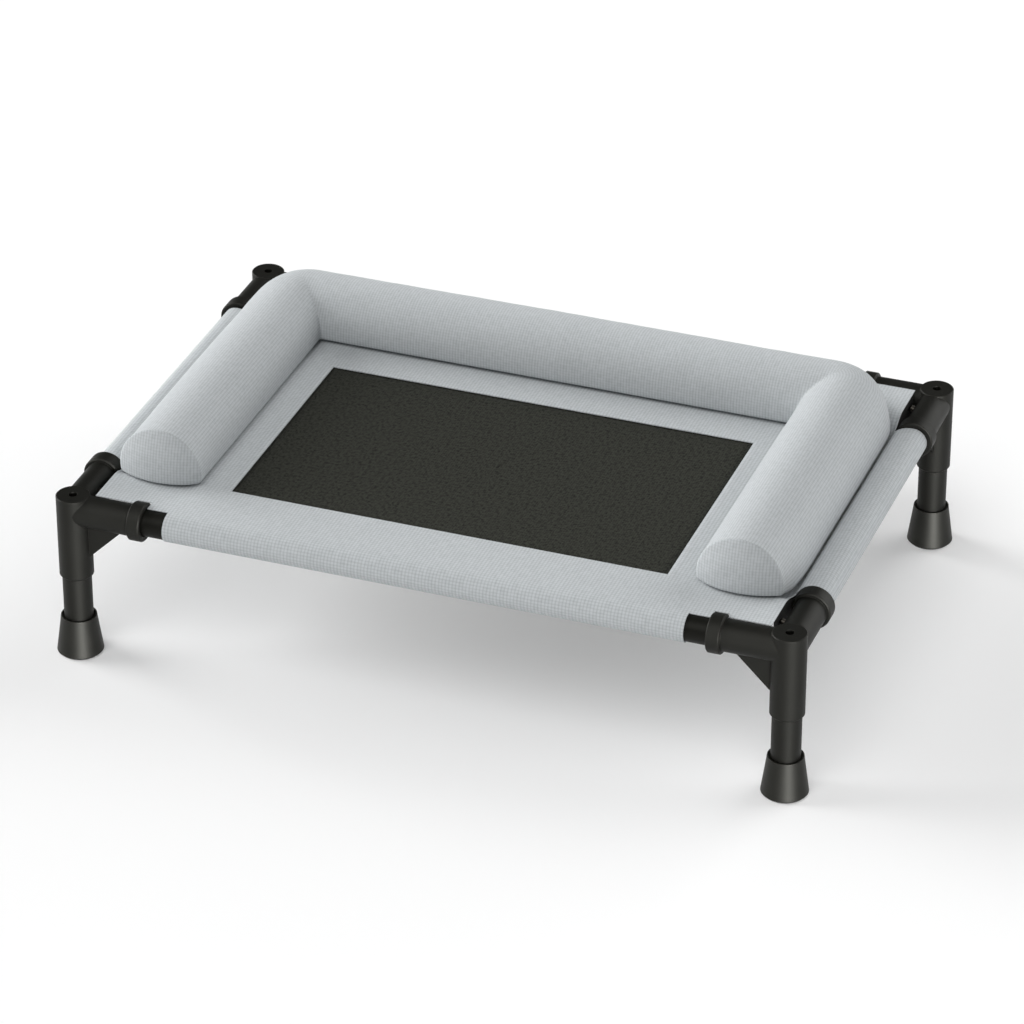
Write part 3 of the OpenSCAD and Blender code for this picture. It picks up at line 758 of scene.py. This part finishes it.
# Stuffing presses the cloth out between its seams
def stuff(piece, sewn):
    piece.vertex_groups.new(name="sewn").add(sewn, 1.0, "REPLACE")
    modifier = piece.modifiers.new("stuffing", "CLOTH")
    cloth = modifier.settings
    cloth.quality = bolsterSizes["quality"]
    cloth.mass = bolsterSizes["pointMass"]
    cloth.tension_stiffness = bolsterSizes["stiffness"]
    cloth.compression_stiffness = bolsterSizes["stiffness"]
    cloth.shear_stiffness = bolsterSizes["stiffness"]
    cloth.bending_stiffness = bolsterSizes["bending"]
    cloth.use_pressure = True
    cloth.uniform_pressure_force = bolsterSizes["pressure"]
    cloth.vertex_group_mass = "sewn"
    cloth.effector_weights.gravity = 0
    modifier.collision_settings.use_collision = False
    modifier.point_cache.frame_start = 1
    modifier.point_cache.frame_end = bolsterSizes["frames"]
    rest = np.array([v.co for v in piece.data.vertices])
    for step in range(1, bolsterSizes["frames"] + 1):
        scene.frame_set(step)
    evaluated = piece.evaluated_get(bpy.context.evaluated_depsgraph_get())
    shift = np.array([v.co for v in evaluated.data.vertices]) - rest
    piece.modifiers.remove(modifier)
    scene.frame_set(1)
    # even out the small wrinkles, because stuffing pulls them flat, then cap the movement
    edges = np.array([e.vertices[:] for e in piece.data.edges])
    links = np.bincount(edges.ravel(), minlength=len(rest))[:, None]
    for _ in range(bolsterSizes["evenOut"]):
        around = np.zeros_like(shift)
        np.add.at(around, edges[:, 0], shift[edges[:, 1]])
        np.add.at(around, edges[:, 1], shift[edges[:, 0]])
        shift = (shift + around / links) / 2
    length = np.linalg.norm(shift, axis=1, keepdims=True)
    shift *= np.minimum(1, bolsterSizes["cap"] * mm / np.maximum(length, nearZero))
    piece.data.vertices.foreach_set("co", (rest + shift).ravel())
    piece.data.update()
    print("bolster stuffed: cloth moved up to", round(length.max() / mm, 2), "mm, on average",
          round(length.mean() / mm, 2), "mm")


def bolster():
    form = bolsterForm()
    vertices, faces, uv, ringCount, mitres = bolsterMesh(form)
    piece = meshPiece("bolster", vertices, faces, uv, ribbedCanvas)
    n = len(form.section)
    work = bmesh.new()
    work.from_mesh(piece.data)
    bmesh.ops.recalc_face_normals(work, faces=work.faces)
    work.to_mesh(piece.data)
    work.free()
    seams = [0, ringCount - 1]
    columns = [0, form.arcCount - 1]
    baseColumns = columns + list(range(form.arcCount, n))
    sewn = [i * n + j for i in range(ringCount) for j in baseColumns]
    sewn += [i * n + j for i in seams + list(mitres) for j in range(form.arcCount)]
    stuff(piece, sewn)
    # seams stay crisp when the cloth is smoothed
    crease = piece.data.attributes.new("crease_edge", "FLOAT", "EDGE")
    sharpness = np.zeros(len(piece.data.edges))
    for e, edge in enumerate(piece.data.edges):
        a, b = sorted(edge.vertices)
        if b >= ringCount * n:
            continue
        ringA, colA, ringB, colB = a // n, a % n, b // n, b % n
        if ringA == ringB and ringA in seams and max(colA, colB) < form.arcCount:
            sharpness[e] = bolsterSizes["seamCrease"]
        elif colA == colB and colA in columns:
            sharpness[e] = bolsterSizes["baseCrease"]
    crease.data.foreach_set("value", sharpness)
    smooth = piece.modifiers.new("smooth", "SUBSURF")
    smooth.levels = smooth.render_levels = 1
    applyModifiers(piece)
    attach(piece, "bolster")
    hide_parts("bolster_cover", "bolster_fill_left", "bolster_fill_rear",
                "bolster_fill_right")
    print("bolster:", len(piece.data.polygons), "faces")


# Fastening tapes, in millimetres and degrees
tapeSizes = {"width": 25, "round": 0.35, "roundSteps": 2, "sharp": 40, "edgeStitch": 2.5}


# One tape under each side run and one under the rear run, in the places of the solid strips
def tapeStrips(name, node, body):
    lo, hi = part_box(node)
    width = tapeSizes["width"] * mm
    points = np.array([v.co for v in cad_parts[node].data.vertices])
    x = points[:, 0]
    sideStart = abs(x).max() - width - mm
    strips = []
    for chosen in (-x > sideStart, x > sideStart, abs(x) < sideStart):
        low, high = points[chosen].min(axis=0), points[chosen].max(axis=0)
        strips.append((low[0], low[1], high[0], high[1]))
    work = bmesh.new()
    for x0, y0, x1, y1 in strips:
        made = bmesh.ops.create_cube(work, size=1)["verts"]
        bmesh.ops.scale(work, vec=(x1 - x0, y1 - y0, hi.z - lo.z), verts=made)
        middle = ((x0 + x1) / 2, (y0 + y1) / 2, (lo.z + hi.z) / 2)
        bmesh.ops.translate(work, vec=middle, verts=made)
    bmesh.ops.bevel(work, geom=work.edges[:], offset=tapeSizes["round"] * mm,
                    segments=tapeSizes["roundSteps"], affect="EDGES")
    mesh = bpy.data.meshes.new(name)
    work.to_mesh(mesh)
    work.free()
    layer = mesh.uv_layers.new(name="clothFlat")
    for corner in mesh.loops:
        spot = mesh.vertices[corner.vertex_index].co
        layer.data[corner.index].uv = (spot.x, spot.y)
    mesh.materials.append(fastenerTape)
    mesh.shade_smooth()
    mesh.set_sharp_from_angle(angle=math.radians(tapeSizes["sharp"]))
    piece = addObject(name, mesh)
    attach(piece, body)
    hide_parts(node)
    print(name + ":", len(mesh.polygons), "faces")
    return strips, lo.z, hi.z


# Stitches, in millimetres; a thread's middle lies over the cloth by the proud share of its width
stitchSizes = {"length": 3.2, "pitch": 4.4, "thread": 0.35, "proud": 0.15, "fromWindow": 5,
               "fromEnd": 3, "rowPoints": 12}


def stitchTree():
    tree = bpy.data.node_groups.new("stitchRows", "GeometryNodeTree")
    sockets = {}
    for label, kind in (("Paths", "Geometry"), ("Pitch", "Float"), ("Length", "Float"),
                        ("Thread", "Float"), ("Finish", "Material")):
        socket = tree.interface.new_socket(label, in_out="INPUT", socket_type="NodeSocket" + kind)
        sockets[label] = socket.identifier
    tree.interface.new_socket("Stitches", in_out="OUTPUT", socket_type="NodeSocketGeometry")
    given = addNode(tree, "NodeGroupInput")
    curve = addNode(tree, "GeometryNodeMeshToCurve", {0: given.outputs["Paths"]})
    spots = addNode(tree, "GeometryNodeResampleCurve",
                    {"Curve": curve.outputs[0], "Length": given.outputs["Pitch"]}, mode="LENGTH")
    # a bead of unit size, drawn out to the length of a stitch
    bead = addNode(tree, "GeometryNodeMeshUVSphere", {"Segments": 6, "Rings": 4, "Radius": 0.5})
    size = addNode(tree, "ShaderNodeCombineXYZ",
                   {0: given.outputs["Thread"], 1: given.outputs["Thread"],
                    2: given.outputs["Length"]})
    stitch = addNode(tree, "GeometryNodeTransform",
                     {"Geometry": bead.outputs[0], "Scale": size.outputs[0]})
    direction = addNode(tree, "GeometryNodeInputTangent")
    turned = addNode(tree, "FunctionNodeAlignRotationToVector", {"Vector": direction.outputs[0]},
                     axis="Z")
    rows = addNode(tree, "GeometryNodeInstanceOnPoints",
                   {"Points": spots.outputs[0], "Instance": stitch.outputs[0],
                    "Rotation": turned.outputs[0]})
    real = addNode(tree, "GeometryNodeRealizeInstances", {0: rows.outputs[0]})
    dressed = addNode(tree, "GeometryNodeSetMaterial",
                      {"Geometry": real.outputs[0], "Material": given.outputs["Finish"]})
    addNode(tree, "NodeGroupOutput", {0: dressed.outputs[0]})
    return tree, sockets


stitchRows, stitchSockets = stitchTree()


# paths holds the points of each row, and whether it closes on itself
def sewRows(name, paths, body):
    vertices, edges = [], []
    for path, closed in paths:
        first = len(vertices)
        vertices += [tuple(p) for p in path]
        edges += [(first + i, first + i + 1) for i in range(len(path) - 1)]
        if closed:
            edges.append((len(vertices) - 1, first))
    mesh = bpy.data.meshes.new(name)
    mesh.from_pydata(vertices, edges, [])
    piece = addObject(name, mesh)
    rows = piece.modifiers.new("stitches", "NODES")
    rows.node_group = stitchRows
    for label in ("Pitch", "Length", "Thread"):
        rows[stitchSockets[label]] = stitchSizes[label.lower()] * mm
    rows[stitchSockets["Finish"]] = thread
    applyModifiers(piece)
    piece.data.shade_smooth()
    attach(piece, body)
    print(name + ":", len(piece.data.polygons), "faces")


def rectangle(x0, y0, x1, y1, z):
    return [(x0, y0, z), (x1, y0, z), (x1, y1, z), (x0, y1, z)]


deckCloth()
# black tape as painted shade in the corner slits
cornerShadeTape()
meshPanel()
bolster()
hookStrips, _, hookHigh = tapeStrips("hookTape", "hook_strips", "frame")
loopStrips, loopLow, _ = tapeStrips("loopTape", "loop_strips", "bolster")

# Rows on the deck: round the window, along the hems above and below, and round the hook tapes
lift = stitchSizes["thread"] * mm * stitchSizes["proud"]
away = stitchSizes["fromWindow"] * mm
deckRows = [(rectangle(-windowX - away, windowFront - away, windowX + away, windowRear + away,
                       deckTop + lift), True)]
sleeveX, sleeveY = (s * mm for s in deckSizes["sleeveStart"])
endX = halfL - sleeveX - stitchSizes["fromEnd"] * mm
endY = halfW - sleeveY - stitchSizes["fromEnd"] * mm
for side in (-1, 1):
    y = side * (halfW + frontSleeve[1][-2])
    for z in (deckTop + lift, railZ + frontSleeve[2][-2] - clothT - lift):
        deckRows.append(([(-endX, y, z), (endX, y, z)], False))
    x = side * (halfL + sideSleeve[1][-2])
    ys = np.linspace(-endY, endY, stitchSizes["rowPoints"])
    deckRows.append(([(x, y, deckHeight(x, y) + lift) for y in ys], False))
    deckRows.append(([(x, y, railZ + sideSleeve[2][-2] - clothT - lift) for y in ys], False))
inset = tapeSizes["edgeStitch"] * mm
for x0, y0, x1, y1 in hookStrips:
    row = rectangle(x0 + inset, y0 + inset, x1 - inset, y1 - inset, hookHigh + lift)
    deckRows.append((row, True))
sewRows("deckStitches", deckRows, "frame")

bolsterRows = []
for x0, y0, x1, y1 in loopStrips:
    row = rectangle(x0 + inset, y0 + inset, x1 - inset, y1 - inset, loopLow - lift)
    bolsterRows.append((row, True))
sewRows("bolsterStitches", bolsterRows, "bolster")

# Floor (in metres), light and camera. A lamp is a far softbox: it shines from an azimuth, counted
# from the front to the right, and an elevation, is so many degrees wide, and has a strength
stageSizes = {
    "floor": 60.0, "floorColour": "#f9f9f9", "glow": 0.2, "sky": 0.12,
    "lamps": ((-90, 18, 45, 3.6), (0, 53, 45, 1.4), (138, 24, 60, 1.9)),
    # low strips beside the camera, which only put a highlight on the dark legs and feet, and a
    # weaker one on the connectors
    "strips": ((35, 6, 20, 19, ("leg_", "foot_")), (35, 6, 20, 13, ("corner_",))),
}
# Millimetres and degrees, except that the view ends at metres
cameraSizes = {"lens": 175.82, "sensor": 36, "pitch": 30.731, "yaw": 20.221,
               "target": (-13.8, 35.0, 74.0), "distance": 5107, "viewEnd": 100}


# 1 where the camera, or a reflection, sees the floor
def seenDirectly(tree):
    path = addNode(tree, "ShaderNodeLightPath")
    sharp = addNode(tree, "ShaderNodeMath", {0: path.outputs["Is Glossy Ray"],
                                             1: path.outputs["Is Transmission Ray"]},
                    operation="MAXIMUM")
    return addNode(tree, "ShaderNodeMath",
                   {0: path.outputs["Is Camera Ray"], 1: sharp.outputs[0]}, operation="MAXIMUM")


# Matt backdrop paper; part of it glows to the camera, so that it is white but keeps the shadow
def floorPaper():
    material, tree, shader = startMaterial("backdrop paper, matt",
                                           {"Roughness": 0.95, "Specular IOR Level": 0.1})
    shader.inputs["Base Color"].default_value = toLinear(stageSizes["floorColour"])
    share = addNode(tree, "ShaderNodeMath",
                    {0: seenDirectly(tree).outputs[0], 1: stageSizes["glow"]},
                    operation="MULTIPLY")
    white = addNode(tree, "ShaderNodeEmission", {"Strength": 1.0})
    both = addNode(tree, "ShaderNodeMixShader",
                   {0: share.outputs[0], 1: shader.outputs[0], 2: white.outputs[0]})
    tree.links.new(both.outputs[0], tree.nodes["Material Output"].inputs["Surface"])
    return material


half = stageSizes["floor"] / 2
floorMesh = bpy.data.meshes.new("floor")
floorMesh.from_pydata(rectangle(-half, -half, half, half, 0), [], [(0, 1, 2, 3)])
floorMesh.materials.append(floorPaper())
addObject("floor", floorMesh)

world = bpy.data.worlds.new("studio")
world.use_nodes = True
sky = world.node_tree.nodes["Background"]
sky.inputs["Color"].default_value = (1, 1, 1, 1)
sky.inputs["Strength"].default_value = stageSizes["sky"]
scene.world = world


# A direction from the object, given in degrees
def towards(azimuth, elevation):
    azimuth, elevation = math.radians(azimuth), math.radians(elevation)
    return Vector((math.sin(azimuth) * math.cos(elevation),
                   -math.cos(azimuth) * math.cos(elevation), math.sin(elevation)))


def addLamp(azimuth, elevation, width, strength):
    lamp = bpy.data.lights.new("softbox", "SUN")
    lamp.energy = strength
    lamp.angle = math.radians(width)
    softbox = addObject("softbox", lamp)
    softbox.rotation_euler = towards(azimuth, elevation).to_track_quat("Z", "Y").to_euler()
    return softbox


for lamp in stageSizes["lamps"]:
    addLamp(*lamp)
for *lamp, starts in stageSizes["strips"]:
    strip = addLamp(*lamp)
    strip.visible_diffuse = False
    lit = bpy.data.collections.new("highlit")
    for nodeName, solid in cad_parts.items():
        if nodeName.startswith(starts):
            lit.objects.link(solid)
    strip.light_linking.receiver_collection = lit

camera = bpy.data.cameras.new("camera")
camera.lens = cameraSizes["lens"]
camera.sensor_width = cameraSizes["sensor"]
camera.clip_end = cameraSizes["viewEnd"]
back = towards(cameraSizes["yaw"], cameraSizes["pitch"])
cameraObject = addObject("camera", camera)
cameraObject.location = Vector(cameraSizes["target"]) * mm + back * cameraSizes["distance"] * mm
cameraObject.rotation_euler = back.to_track_quat("Z", "Y").to_euler()
scene.camera = cameraObject
scene.view_settings.view_transform = "Standard"
print("stage set")
